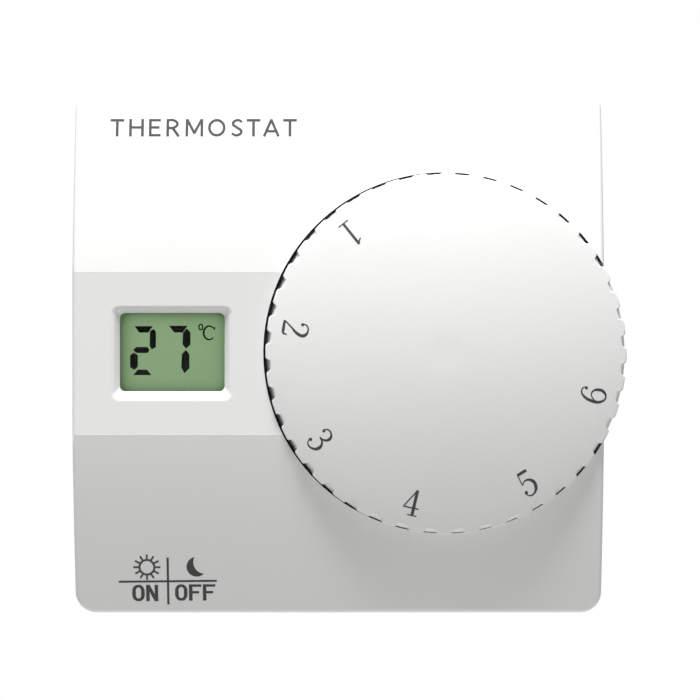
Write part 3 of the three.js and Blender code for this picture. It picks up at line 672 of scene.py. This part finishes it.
def makeCase():
    shell = faceBlock("case_shell", 0, -shellHigh.y, 0, case["edge"])
    skin = copyOf(shell, "caseSkin")
    hollow = faceBlock("hollow", case["wall"], -shellHigh.y - 5 * mm, case["wall"], 0)
    wellX, wellZ = dialAxis.x + case["wellAside"][0], dialAxis.z + case["wellAside"][1]
    cup = rod("cup", wellX, wellZ, case["well"] + case["wellWall"],
              case["wellFloor"] - case["wellWall"], case["band"] + mm, 128)
    bossPlace, bossRadius, bossBack = case["bosses"]
    bosses = [rod("boss", x, z, bossRadius, bossBack, case["band"], 32)
              for x in (-bossPlace, bossPlace) for z in (-bossPlace, bossPlace)]
    carve(hollow, cup, *bosses)
    well = rod("well", wellX, wellZ, case["well"], case["wellFloor"], case["band"] + 9 * mm, 256)
    shaftHole = rod("shaftHole", dialAxis.x, dialAxis.z, case["shaftHole"], case["shaftHoleBack"],
                    case["wellFloor"] + mm, 48)
    carve(shell, hollow, well, shaftHole, windowCutter(), ventCutter(), *sliderCutters())
    spare = 0.1 * mm
    w = window["width"] / 2 + window["side"] + spare
    h = window["height"] / 2 + window["below"] + spare

    def onOpening(co):
        off = co - windowMiddle
        return abs(co.y + bandFace) < 5 * tiny and abs(off.x) < w and abs(off.z) < h

    beveledAlong(shell, lambda a, b: onOpening(a) and onOpening(b), window["lip"], 5)
    settle(weighted(shell, 30), "body_unit", "shell_white", "front_cover")
    print("case shell:", len(shell.data.polygons), "faces")
    return skin


# the dial

dial = {
    "radius": 29.15 * mm,
    "notches": 40,
    "phase": 3.9,              # degrees from +X to the middle of the first notch
    "depth": 0.72 * mm,        # of a notch at the rim
    "runOut": 3.7 * mm,        # how far behind the rim it ends
    "backDepth": 0.04 * mm,    # what is left of it there and at the skirt's back edge
    # half a notch and half a crest: degrees from the notch's middle, share of the depth
    "corners": [(0, 1), (1.3, 1), (1.78, 0.82), (2.15, 0.18), (2.6, 0), (4.5, 0)],
    "skirtBack": 23.2 * mm,
    "rim": 31.7 * mm,
    "fillet": 0.3 * mm,
    "dome": 112 * mm,
    "ring": 27.4 * mm,         # radius of the face inside the notches
    "skirtWall": 2.0 * mm,
    "face": 1.8 * mm,
    "hub": 5.4 * mm,
    "hubBack": 23.6 * mm,
    "bore": 3.3 * mm,
    "boreFront": 30.8 * mm,
}
pitch = 360 / dial["notches"]


def domeDepth(radius, under=0.0):
    middle = dial["rim"] - math.sqrt(dial["dome"] ** 2 - dial["radius"] ** 2)
    return middle + math.sqrt((dial["dome"] - under) ** 2 - radius ** 2)


def fromAxis(co):
    return math.hypot(co.x - dialAxis.x, co.z - dialAxis.z)


def inPitch(co):
    # angle from the middle of the nearest notch, in degrees
    angle = math.degrees(math.atan2(co.z - dialAxis.z, co.x - dialAxis.x)) - dial["phase"]
    return (angle + pitch / 2) % pitch - pitch / 2


def pickCorner(knob, angle, low, high):
    # the corners of all notches that lie at one angle from the middle, on either side, between two depths
    return pick(knob, lambda co: abs(abs(inPitch(co)) - angle) < 0.02 and low - tiny < -co.y < high + tiny)


def widen(radius, here, depth=0.0):
    # moves what is selected from one radius to another, about the dial's axis, and forward by depth
    factor = radius / here
    bpy.ops.transform.resize(value=(factor, 1, factor), center_override=tuple(dialAxis))
    if depth:
        bpy.ops.transform.translate(value=(0, -depth, 0))


def extrudeRing(forward, factor=1.0):
    bpy.ops.mesh.extrude_edges_move(TRANSFORM_OT_translate={"value": (0, -forward, 0)})
    bpy.ops.transform.resize(value=(factor, 1, factor), center_override=tuple(dialAxis))


def makeKnob():
    radius, back, rim = dial["radius"], dial["skirtBack"], dial["rim"]
    corners = dial["corners"]
    count = 2 * (len(corners) - 1)
    objectMode()
    bpy.ops.object.select_all(action="DESELECT")
    bpy.ops.mesh.primitive_circle_add(vertices=dial["notches"] * count, radius=radius,
                                      location=(dialAxis.x, -back, dialAxis.z),
                                      rotation=(math.pi / 2, -math.radians(dial["phase"]), 0))
    knob = newPiece("dial_knob")
    for i, (angle, _) in enumerate(corners[1:-1], 1):
        even = i * pitch / count
        for side in (-1, 1):
            pick(knob, lambda co: abs(inPitch(co) - side * even) < 0.05)
            bpy.ops.transform.rotate(value=side * math.radians(angle - even), orient_axis="Y",
                                     center_override=tuple(dialAxis))
    front = rim - dial["fillet"]
    levels = [(back, dial["backDepth"]), (rim - dial["runOut"], dial["backDepth"]), (front, dial["depth"])]
    pickAll(knob)
    for (low, _), (high, _) in zip(levels, levels[1:]):
        extrudeRing(high - low)
    for angle, share in corners:
        for depth, notch in levels:
            pickCorner(knob, angle, depth, depth)
            widen(radius - share * notch, radius)
    # the rounded rim, then the face's first round ring inside the notches
    steps = 4
    turns = [math.pi / 2 * i / steps for i in range(steps + 1)]
    pick(knob, lambda co: -co.y > front - tiny)
    for now, after in zip(turns, turns[1:]):
        shrink = [radius - dial["fillet"] * (1 - math.cos(a)) for a in (now, after)]
        extrudeRing(dial["fillet"] * (math.sin(after) - math.sin(now)), shrink[1] / shrink[0])
    edge = 1 - dial["fillet"] / radius
    inward = 0.97
    extrudeRing(0, inward)
    for angle, share in corners:
        here = radius - share * dial["depth"]
        lift = domeDepth(here) - domeDepth(radius)
        if share:
            pick(knob, lambda co: abs(abs(inPitch(co)) - angle) < 0.02 and -co.y > front - tiny
                 and fromAxis(co) > here * edge * (1 + inward) / 2)
            bpy.ops.transform.translate(value=(0, -lift, 0))
        pick(knob, lambda co: abs(abs(inPitch(co)) - angle) < 0.02 and -co.y > front - tiny
             and fromAxis(co) < here * edge * (1 + inward) / 2)
        widen(dial["ring"], here * edge * inward, domeDepth(dial["ring"]) - rim)
    pick(knob, lambda co: fromAxis(co) < dial["ring"] + tiny)
    rings = [dial["ring"]] + [dial["ring"] * (1 - i / 12) for i in range(1, 12)]
    for now, after in zip(rings, rings[1:]):
        extrudeRing(domeDepth(after) - domeDepth(now), after / now)
    bpy.ops.mesh.edge_face_add()
    # the hollow underside with its hub and bore
    inner = radius - dial["depth"] - dial["skirtWall"]
    pick(knob, lambda co: -co.y < back + tiny)
    extrudeRing(0, 0.9)
    for angle, share in corners:
        here = (radius - share * dial["backDepth"]) * 0.9
        pick(knob, lambda co: abs(abs(inPitch(co)) - angle) < 0.02 and -co.y < back + tiny
             and fromAxis(co) < here + 0.5 * mm)
        widen(inner, here)
    pick(knob, lambda co: -co.y < back + tiny and fromAxis(co) < inner + tiny)
    under = domeDepth(inner, dial["face"])
    hub, bore = dial["hub"], dial["bore"]
    hubTop = domeDepth(hub, dial["face"])
    path = [(inner, back), (inner, under), (0.6 * inner, domeDepth(0.6 * inner, dial["face"])), (hub, hubTop),
            (hub, dial["hubBack"]), (bore, dial["hubBack"]), (bore, dial["boreFront"])]
    for (wide, low), (narrow, high) in zip(path, path[1:]):
        extrudeRing(high - low, narrow / wide)
    bpy.ops.mesh.edge_face_add()
    pickAll(knob)
    bpy.ops.mesh.remove_doubles(threshold=tiny)
    bpy.ops.mesh.normals_make_consistent(inside=False)
    objectMode()
    skin = copyOf(knob, "dialSkin")
    settle(weighted(knob, 38), "dial", "dial_white", "control_dial")
    print("dial knob:", len(knob.data.polygons), "faces")
    return skin


# printed marks: strokes of a flat pen, cut to the surface that they lie on

ink = {
    "proud": 0.02 * mm,        # above the surface
    "reach": 1.5 * mm,         # how far a stroke passes through it before it is cut
    "word": "THERMOSTAT",
    "wordOffsets": (1.1, 4.25, 7.3, 10.2, 13.7, 17.35, 20.65, 23.35, 26.25, 29.3),
    "wordPlace": (-37.2 * mm, 34.9 * mm),
    "numeralRadius": 24.6 * mm,
    "numeralWeight": 1.18,     # thickens every numeral's strokes
    "numeralAngles": (128.5, 170.7, 214.3, 257.1, 301.8, 344.4),
}


def stroke(points, closed=False, straight=False, thickness=2 * ink["reach"], weight=1.0):
    # a ribbon lying flat, through (x, y, width) points in millimetres, raised to a plate
    edge = bpy.data.curves.new("penEdge", "CURVE")
    line = edge.splines.new("POLY")
    line.points.add(1)
    line.points[0].co = (-0.5 * mm, 0, 0, 1)
    line.points[1].co = (0.5 * mm, 0, 0, 1)
    pen = bpy.data.objects.new("penEdge", edge)
    bpy.context.scene.collection.objects.link(pen)
    path = bpy.data.curves.new("stroke", "CURVE")
    path.dimensions = "2D"
    path.resolution_u = 5
    path.bevel_mode = "OBJECT"
    path.bevel_object = pen
    spline = path.splines.new("POLY" if straight else "BEZIER")
    knots = spline.points if straight else spline.bezier_points
    knots.add(len(points) - 1)
    for knot, (x, y, width) in zip(knots, points):
        knot.co = (x * mm, y * mm, 0, 1) if straight else (x * mm, y * mm, 0)
        knot.radius = width * weight
        if not straight:
            knot.handle_left_type = knot.handle_right_type = "AUTO"
    spline.use_cyclic_u = closed
    mark = bpy.data.objects.new("stroke", path)
    bpy.context.scene.collection.objects.link(mark)
    makeActive(mark)
    bpy.ops.object.convert(target="MESH")
    mark = bpy.context.object
    bpy.data.objects.remove(pen, do_unlink=True)
    return raised(mark, thickness)


def raised(mark, thickness=2 * ink["reach"]):
    # gives a flat shape in the XY plane its thickness, equally to both sides
    pickAll(mark)
    bpy.ops.mesh.remove_doubles(threshold=tiny)
    objectMode()
    applied(mark, "SOLIDIFY", thickness=thickness, offset=0)
    pickAll(mark)
    bpy.ops.mesh.normals_make_consistent(inside=False)
    objectMode()
    return mark


def dot(x, y, radius):
    objectMode()
    bpy.ops.object.select_all(action="DESELECT")
    bpy.ops.mesh.primitive_cylinder_add(vertices=20, radius=radius * mm, depth=2 * ink["reach"],
                                        location=(x * mm, y * mm, 0))
    return newPiece("dot")


def bar(x0, y0, x1, y1, width):
    return stroke([(x0, y0, width), (x1, y1, width)], straight=True)


def placed(parts, name, x, z, depth, turn=0.0):
    # stands the flat mark upright at its place, facing the front
    mark = joined(name, parts)
    makeActive(mark)
    mark.rotation_euler = (math.pi / 2, 0, 0)
    bpy.ops.object.transform_apply(location=True, rotation=True, scale=True)
    mark.rotation_euler = (0, -turn, 0)
    mark.location = (x, -depth, z)
    bpy.ops.object.transform_apply(location=True, rotation=True, scale=True)
    return mark


def printed(mark, skin, body, slotName="black_plastic"):
    # keeps only what lies under a copy of the surface that stands proud by the ink's thickness
    surface = copyOf(skin, "printSkin")
    makeActive(surface)
    surface.location.y = -ink["proud"]
    bpy.ops.object.transform_apply(location=True, rotation=True, scale=True)
    carve(mark, surface, operation="INTERSECT")
    pickAll(mark)
    bpy.ops.mesh.remove_doubles(threshold=tiny)
    bpy.ops.mesh.dissolve_degenerate(threshold=tiny)
    objectMode()
    return settle(mark, body, slotName, material=inkFinish)


def curve(points):
    return stroke(points, weight=ink["numeralWeight"])


def line(x0, y0, x1, y1, width):
    return stroke([(x0, y0, width), (x1, y1, width)], straight=True, weight=ink["numeralWeight"])


# each numeral is about 2.6 wide and 4.3 tall about its middle
numerals = {
    "one": lambda: [line(0, 2.1, 0, -2.1, 0.36),
                    curve([(0.05, 2.1, 0.12), (-0.3, 1.7, 0.24), (-0.8, 1.42, 0.14)]),
                    line(-0.95, -2.08, 0.95, -2.08, 0.17)],
    "two": lambda: [dot(-0.82, 1.05, 0.26),
                    curve([(-0.98, 1.2, 0.14), (-0.7, 1.82, 0.2), (0.05, 2.06, 0.22), (0.9, 1.5, 0.44),
                            (0.75, 0.5, 0.4), (-0.2, -0.75, 0.22), (-1.05, -1.85, 0.16)]),
                    curve([(-1.1, -1.92, 0.32), (0.3, -1.92, 0.42), (0.95, -1.85, 0.3), (1.15, -1.2, 0.1)])],
    "three": lambda: [dot(-0.82, 1.3, 0.25), dot(-0.88, -1.25, 0.27),
                      curve([(-1.0, 1.42, 0.12), (-0.6, 1.95, 0.2), (0.1, 2.06, 0.22), (0.8, 1.3, 0.42),
                              (0.35, 0.42, 0.24), (-0.35, 0.2, 0.14)]),
                      curve([(-0.35, 0.2, 0.14), (0.55, 0.02, 0.26), (1.02, -0.95, 0.46), (0.35, -1.92, 0.26),
                              (-0.55, -2.0, 0.18), (-1.08, -1.4, 0.12)])],
    "four": lambda: [line(0.42, 2.1, 0.42, -2.1, 0.42), line(0.4, 2.05, -1.2, -0.8, 0.17),
                     line(-1.28, -0.88, 1.25, -0.88, 0.19), line(-0.35, -2.08, 1.2, -2.08, 0.16)],
    "five": lambda: [dot(-0.85, -1.25, 0.27), line(-0.62, 1.9, 1.0, 1.9, 0.4),
                     line(-0.62, 2.0, -0.78, 0.1, 0.15),
                     curve([(-0.8, 0.08, 0.14), (0.0, 0.52, 0.2), (0.95, -0.05, 0.4), (1.0, -1.15, 0.46),
                             (0.25, -1.98, 0.26), (-0.6, -1.98, 0.18), (-1.05, -1.4, 0.12)])],
    "six": lambda: [dot(0.72, 1.4, 0.25),
                    curve([(0.92, 1.55, 0.12), (0.5, 2.0, 0.18), (-0.1, 2.0, 0.2), (-0.8, 1.2, 0.34),
                            (-1.05, -0.2, 0.44), (-0.85, -1.4, 0.34), (0.0, -2.05, 0.2), (0.85, -1.5, 0.36),
                            (0.95, -0.55, 0.38), (0.5, 0.25, 0.22), (-0.1, 0.35, 0.16),
                            (-0.85, -0.35, 0.12)])],
}


def makeNumerals(skin):
    marks = []
    for (name, parts), degrees in zip(numerals.items(), ink["numeralAngles"]):
        angle = math.radians(degrees)
        x = dialAxis.x + ink["numeralRadius"] * math.cos(angle)
        z = dialAxis.z + ink["numeralRadius"] * math.sin(angle)
        depth = domeDepth(ink["numeralRadius"])
        marks.append(placed(parts(), "numeral_" + name, x, z, depth, turn=angle + math.pi / 2))
    printed(joined("dial_numerals", marks), skin, "dial")
    print("numerals:", len(numerals))


def sun():
    ring = stroke([(1.21 * math.cos(k * math.pi / 4), 1.21 * math.sin(k * math.pi / 4), 0.33)
                   for k in range(8)], closed=True)
    rays = []
    for k in range(12):
        c, s = math.cos(k * math.pi / 6), math.sin(k * math.pi / 6)
        rays.append(bar(1.28 * c, 1.28 * s, 2.22 * c, 2.1 * s, 0.3))
    return [ring, *rays]


def moon():
    return [carve(dot(0, 0, 1.65), dot(1.37, 0.74, 1.92))]


def letterO():
    return [stroke([(0.72, 0, 0.6), (0.54, 0.9, 0.52), (0, 1.15, 0.43), (-0.54, 0.9, 0.52), (-0.72, 0, 0.6),
                    (-0.54, -0.9, 0.52), (0, -1.15, 0.43), (0.54, -0.9, 0.52)], closed=True)]


def letterN():
    return [bar(-0.7, -1.36, -0.7, 1.36, 0.56), bar(0.7, -1.36, 0.7, 1.36, 0.56),
            bar(-0.68, 1.28, 0.68, -1.28, 0.56)]


def letterF():
    return [bar(-0.72, -1.36, -0.72, 1.36, 0.58), bar(-0.95, 1.16, 1.03, 1.16, 0.4),
            bar(-0.8, 0.04, 0.66, 0.04, 0.4)]


def makeLegend(skin):
    marks = [
        (sun, -31.22, -35.38), (moon, -23.12, -35.3),
        (letterO, -32.68, -39.68), (letterN, -30.44, -39.68),
        (letterO, -25.68, -39.6), (letterF, -23.42, -39.6), (letterF, -21.15, -39.58),
    ]
    depth = faceDepth(-37.9 * mm)
    placedMarks = [placed(parts(), "mark", x * mm, z * mm, depth) for parts, x, z in marks]
    rules = [bar(-35.85, -37.8, -19.85, -37.64, 0.33), bar(-27.82, -33.78, -27.82, -41.6, 0.36)]
    placedMarks.append(placed(rules, "rules", 0, 0, depth))
    printed(joined("switch_legend", placedMarks), skin, "body_unit")
    print("legend done")


# plain capitals for the generic word: 2.9 tall on the base line, about their own middle
capitals = {
    "T": lambda: [bar(-1.12, 2.69, 1.12, 2.69, 0.42), bar(0, 0, 0, 2.6, 0.44)],
    "H": lambda: [bar(-0.98, 0, -0.98, 2.9, 0.44), bar(0.98, 0, 0.98, 2.9, 0.44),
                  bar(-0.9, 1.5, 0.9, 1.5, 0.4)],
    "E": lambda: [bar(-0.8, 0, -0.8, 2.9, 0.44), bar(-0.9, 2.7, 0.9, 2.7, 0.4), bar(-0.9, 1.5, 0.7, 1.5, 0.4),
                  bar(-0.9, 0.2, 0.9, 0.2, 0.4)],
    "R": lambda: [bar(-0.85, 0, -0.85, 2.9, 0.44), bar(-0.1, 1.5, 0.95, 0, 0.44),
                  stroke([(-0.9, 2.7, 0.4), (0.1, 2.68, 0.4), (0.72, 2.1, 0.42), (0.1, 1.46, 0.4),
                          (-0.9, 1.44, 0.4)])],
    "M": lambda: [bar(-1.22, 0, -1.22, 2.9, 0.42), bar(1.22, 0, 1.22, 2.9, 0.42),
                  bar(-1.2, 2.85, 0.03, 0.5, 0.42), bar(1.2, 2.85, -0.03, 0.5, 0.42)],
    "O": lambda: [stroke([(1.2 * math.cos(k * math.pi / 4), 1.45 + 1.25 * math.sin(k * math.pi / 4), 0.42)
                          for k in range(8)], closed=True)],
    "S": lambda: [stroke([(0.82, 2.42, 0.36), (0.1, 2.72, 0.4), (-0.66, 2.12, 0.42), (0.02, 1.47, 0.42),
                          (0.72, 0.82, 0.42), (-0.02, 0.18, 0.4), (-0.86, 0.5, 0.36)])],
    "A": lambda: [bar(-1.18, 0, 0.04, 2.85, 0.42), bar(1.18, 0, -0.04, 2.85, 0.42),
                  bar(-0.75, 0.86, 0.75, 0.86, 0.38)],
}


def makeWord(skin):
    x, z = ink["wordPlace"]
    letters = []
    for letter, offset in zip(ink["word"], ink["wordOffsets"]):
        letters.append(placed(capitals[letter](), "letter", x + offset * mm, z, faceDepth(z + 1.45 * mm)))
    printed(joined("case_word", letters), skin, "body_unit")
    print("word:", len(letters), "letters")


# display: the lit segments lie between the two glasses

display = {
    "back": 25.81 * mm,
    "front": 25.99 * mm,
    "aside": -0.26 * mm,       # of the digits from the window's middle
    "raised": 0.1 * mm,
    "two": (                                     # (x, y, width) along each segment, from the window's middle
        ((-4.6, 4.24, 2.95), (-4.6, 3.2, 1.5)),
        ((-2.97, 3.72, 0.12), (-3.08, 3.35, 0.98), (-3.12, 0.9, 1.0), (-3.28, 0.5, 0.12)),
        ((-6.27, 0.35, 0.1), (-5.8, 0.35, 0.98), (-3.98, 0.35, 0.98), (-3.67, 0.35, 0.1)),
        ((-6.22, -0.1, 0.14), (-6.18, -0.55, 1.26), (-6.18, -2.4, 1.26), (-6.1, -2.85, 0.2)),
        ((-4.82, -3.74, 2.95), (-4.82, -2.85, 1.5)),
    ),
    "seven": (
        ((1.05, 4.3, 3.0), (1.05, 3.2, 1.35)),
        ((2.4, 3.82, 0.14), (2.42, 3.2, 1.22), (2.38, 1.25, 1.28), (2.3, 0.63, 0.12)),
        ((2.28, 0.3, 0.14), (2.25, -0.35, 1.22), (2.2, -2.55, 1.34), (2.05, -3.38, 0.12)),
    ),
    "degree": (4.72, 4.1, 0.3, 0.45, 0.22),     # middle, half width, half height, stroke
    "celsius": (6.1, 3.15, 0.92, 1.1),           # middle, half width, half height
}


def makeSegments():
    thick = display["front"] - display["back"]
    parts = [stroke(points, straight=True, thickness=thick) for points in display["two"] + display["seven"]]
    x, y, wide, high, width = display["degree"]
    ring = [(x + wide * math.cos(k * math.pi / 4), y + high * math.sin(k * math.pi / 4), width)
            for k in range(8)]
    parts.append(stroke(ring, closed=True, thickness=thick))
    x, y, wide, high = display["celsius"]
    turns = [(math.radians(42 + 276 * k / 8), 0.19 + 0.13 * math.sin(math.pi * k / 8)) for k in range(9)]
    parts.append(stroke([(x + wide * math.cos(a), y + high * math.sin(a), width) for a, width in turns],
                        thickness=thick))
    parts.append(stroke([(x + 0.84, y + 1.0, 0.16), (x + 0.84, y + 0.5, 0.24)],
                        straight=True, thickness=thick))
    middle = (display["back"] + display["front"]) / 2
    x, z = windowMiddle.x + display["aside"], windowMiddle.z + display["raised"]
    segments = placed(parts, "lcd_segments", x, z, middle)
    settle(segments, "body_unit", "black_plastic", material=segmentFilm())
    print("segments:", len(parts))


# the other visible mouldings: their CAD shape with the edges a mould leaves

mouldings = {
    "wall_plate": {"radius": 0.45 * mm, "body": "wall_base"},
    "rear_cover": {"radius": 0.4 * mm, "body": "body_unit"},
    "mode_slider": {"radius": 0.3 * mm, "body": "mode_switch"},
    "terminal_block": {"radius": 0.35 * mm, "body": "wall_base"},
    "lcd_holder": {"radius": 0.25 * mm, "body": "body_unit"},
    "relay": {"radius": 0.35 * mm, "body": "body_unit"},
    "slide_switch_housing": {"radius": 0.25 * mm, "body": "body_unit"},
    "potentiometer_housing": {"radius": 0.3 * mm, "body": "body_unit"},
}


def makeMoulding(node, radius, body, slot):
    piece = copyOf(frame["nodes"][node], "moulded_" + node)
    makeActive(piece)
    pickAll(piece)
    bpy.ops.mesh.remove_doubles(threshold=tiny)
    bpy.ops.mesh.dissolve_limited(angle_limit=math.radians(1.5))
    objectMode()
    applied(piece, "BEVEL", width=radius, segments=2, limit_method="ANGLE", angle_limit=math.radians(50),
            use_clamp_overlap=True)
    weighted(piece, 40)
    settle(piece, body, slot, node)


def makeMouldings():
    slots = {entry["node"]: entry["material_slot"] for entry in frame["record"]["subparts"]}
    for node, values in mouldings.items():
        makeMoulding(node, values["radius"], values["body"], slots[node])
    print("mouldings:", len(mouldings))


makeCamera()
makeLights()
makeWorld()
makeFloor()
finishes = makeMaterials()
inkFinish = printingInk()
print("materials:", len(finishes))
caseSkin = makeCase()
dialSkin = makeKnob()
makeNumerals(dialSkin)
makeLegend(caseSkin)
makeWord(caseSkin)
for skin in (caseSkin, dialSkin):
    bpy.data.objects.remove(skin, do_unlink=True)
makeSegments()
makeMouldings()
